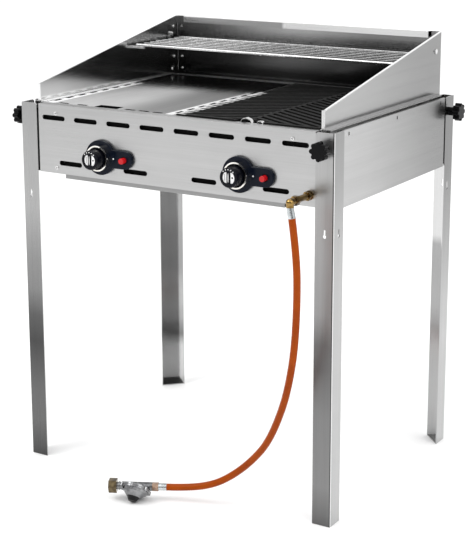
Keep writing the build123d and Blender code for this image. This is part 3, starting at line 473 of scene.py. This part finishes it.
def arc(r, a0, a1, n):
    return [(r * math.cos(math.radians(a0 + (a1 - a0) * k / n)), r * math.sin(math.radians(a0 + (a1 - a0) * k / n))) for k in range(n + 1)]


def clipped(r, x0, x1, n=20):
    """Outline of the part of a disc of radius r between x0 and x1."""
    if x0 >= 0:
        a0, a1 = math.degrees(math.acos(x0 / r)), math.degrees(math.acos(min(1.0, x1 / r)))
        up = arc(r, a1, a0, n) if x1 < r else arc(r, 0, a0, n)
        dn = arc(r, -a0, -a1, n) if x1 < r else arc(r, -a0, 0, n)
        return (up + dn) if x1 < r else (up + dn[:-1])
    return [(-x, z) for x, z in clipped(r, -x1, -x0, n)][::-1]


def disc(cx, cz, r, n=20):
    return [(cx + r * math.cos(2 * math.pi * k / n), cz + r * math.sin(2 * math.pi * k / n)) for k in range(n)]


for s, side in ((-1, "left"), (1, "right")):
    cx, cz = s * 164.7, 684.0
    body = f"knob_{side}"
    bm = bmesh.new()
    for i in range(5):
        a = math.radians(90 + (2 - i) * 21)
        disc_prism(bm, (cx, FACE_Y, cz), None, disc(16.4 * math.cos(a), 16.4 * math.sin(a), 1.15, 10), 0.15)
    # white fields on the floors of the two pockets, and a slim white oval on the grip bar
    for x0, x1 in ((4.2, 13.4), (-13.4, -4.2)):
        disc_prism(bm, (cx, FACE_Y + 2.2, cz), None, [(x, max(-10.6, min(10.6, z))) for x, z in clipped(13.4, x0, x1)], 0.25)
    oval = [(0.85 * math.cos(t), 9.2 * math.sin(t)) for t in [2 * math.pi * k / 24 for k in range(24)]]
    disc_prism(bm, (cx, FACE_Y, cz), None, oval, 0.15)
    mesh_piece(f"knob_marks_{side}", bm, M["white"], body)
    # dark pictogram on the right field
    bm = bmesh.new()
    disc_prism(bm, (cx, FACE_Y + 1.95, cz), None, disc(8.2, 0.5, 1.9, 14), 0.12)
    disc_prism(bm, (cx, FACE_Y + 1.95, cz), None, [(-8.9, -6.5), (-8.0, -6.5), (-8.0, 6.5), (-8.9, 6.5)], 0.12)
    mesh_piece(f"knob_print_{side}", bm, M["knob"], body)
    # grip ribs round the knob's flank
    bm = bmesh.new()
    for k in range(24):
        a = math.radians(15 * k)
        ca, sa = math.cos(a), math.sin(a)
        q = []
        for dy in (-3.0, -26.5):
            for da, rr in ((-0.9, 19.4), (-0.45, 20.15), (0.45, 20.15), (0.9, 19.4)):
                q.append(bm.verts.new(P(cx + rr * ca - da * sa, FACE_Y + 30 + dy, cz + rr * sa + da * ca)))
        bm.faces.new(q[:4])
        bm.faces.new(q[4:][::-1])
        for i in range(3):
            bm.faces.new((q[i], q[i + 4], q[i + 5], q[i + 1]))
    mesh_piece(f"knob_ribs_{side}", bm, M["knob"], body)
    # index dot on the bezel
    bm = bmesh.new()
    disc_prism(bm, (cx, BEZEL_Y, cz), None, disc(34.6, 1.0, 1.6, 14), 0.18)
    mesh_piece(f"bezel_dot_{side}", bm, M["white"], "housing")

# cross recess in the panel screws, drawn as flat black crosses: painted shade of the recesses
for n, (x, z) in enumerate([(-281.0, 764.5), (281.0, 764.5), (-281.0, 650.0), (281.0, 646.0)]):
    bm = bmesh.new()
    c0, s0 = math.cos(0.5 + n), math.sin(0.5 + n)
    for w, l in ((0.45, 2.3), (2.3, 0.45)):
        out = [(a * c0 - b_ * s0, a * s0 + b_ * c0) for a, b_ in ((-w, -l), (w, -l), (w, l), (-w, l))]
        disc_prism(bm, (x, -271 - 1.8, z), None, out, 0.06)
    mesh_piece(f"screw_recess_{n}", bm, M["soot"], "housing")

# -------------------------------------------------------------------- floor
me = bpy.data.meshes.new("floor")
bm = bmesh.new()
bmesh.ops.create_grid(bm, x_segments=8, y_segments=8, size=30)
bm.to_mesh(me)
bm.free()
floor = bpy.data.objects.new("floor", me)
scene.collection.objects.link(floor)
floor.location = (0, 0, -0.0004)
m, nt, b = new_mat("floor_paper")
c = ramp(nt, noise(nt, coords(nt, (0.6, 0.6, 0.6)), 1.0, 2.0), [(0.3, gray(0.93)), (0.7, gray(0.95))])
nt.links.new(c, b.inputs["Base Color"])
b.inputs["Roughness"].default_value = 0.9
b.inputs["Specular IOR Level"].default_value = 0.1
me.materials.append(m)

# ------------------------------------------------------------------- lights
world = bpy.data.worlds.new("studio")
scene.world = world
world.use_nodes = True
wn = world.node_tree
wn.nodes.clear()
wo = wn.nodes.new("ShaderNodeOutputWorld")
bg = wn.nodes.new("ShaderNodeBackground")
wn.links.new(bg.outputs[0], wo.inputs[0])
tc = wn.nodes.new("ShaderNodeTexCoord")
sx = wn.nodes.new("ShaderNodeSeparateXYZ")
wn.links.new(tc.outputs["Generated"], sx.inputs[0])
up = ramp(wn, sx.outputs[2], [(0.0, gray(0.90)), (0.30, gray(1.0)), (0.60, gray(1.25)), (1.0, gray(1.55))])
front = remap(wn, math_n(wn, "MULTIPLY", sx.outputs[1], -1.0), 0.15, 0.60, 0.0, 1.0, smooth=True)
low = remap(wn, sx.outputs[2], 0.30, 0.55, 1.0, 0.0, smooth=True)
col = mixc(wn, math_n(wn, "MULTIPLY", front, low), up, gray(0.10))
wn.links.new(col, bg.inputs[0])
bg.inputs[1].default_value = 0.95


def area(name, pos, target, size, power, size_y=None):
    d = bpy.data.lights.new(name, "AREA")
    d.energy = power
    d.shape = "RECTANGLE"
    d.size = size
    d.size_y = size_y or size
    o = bpy.data.objects.new(name, d)
    scene.collection.objects.link(o)
    o.location = pos
    o.rotation_mode = "QUATERNION"
    o.rotation_quaternion = (Vector(target) - Vector(pos)).to_track_quat("-Z", "Y")
    return o


area("key", (-1.6, -2.6, 3.4), (0, 0, 0.5), 2.2, 60)
area("fill", (2.8, -0.6, 2.6), (0, 0, 0.6), 2.0, 30)
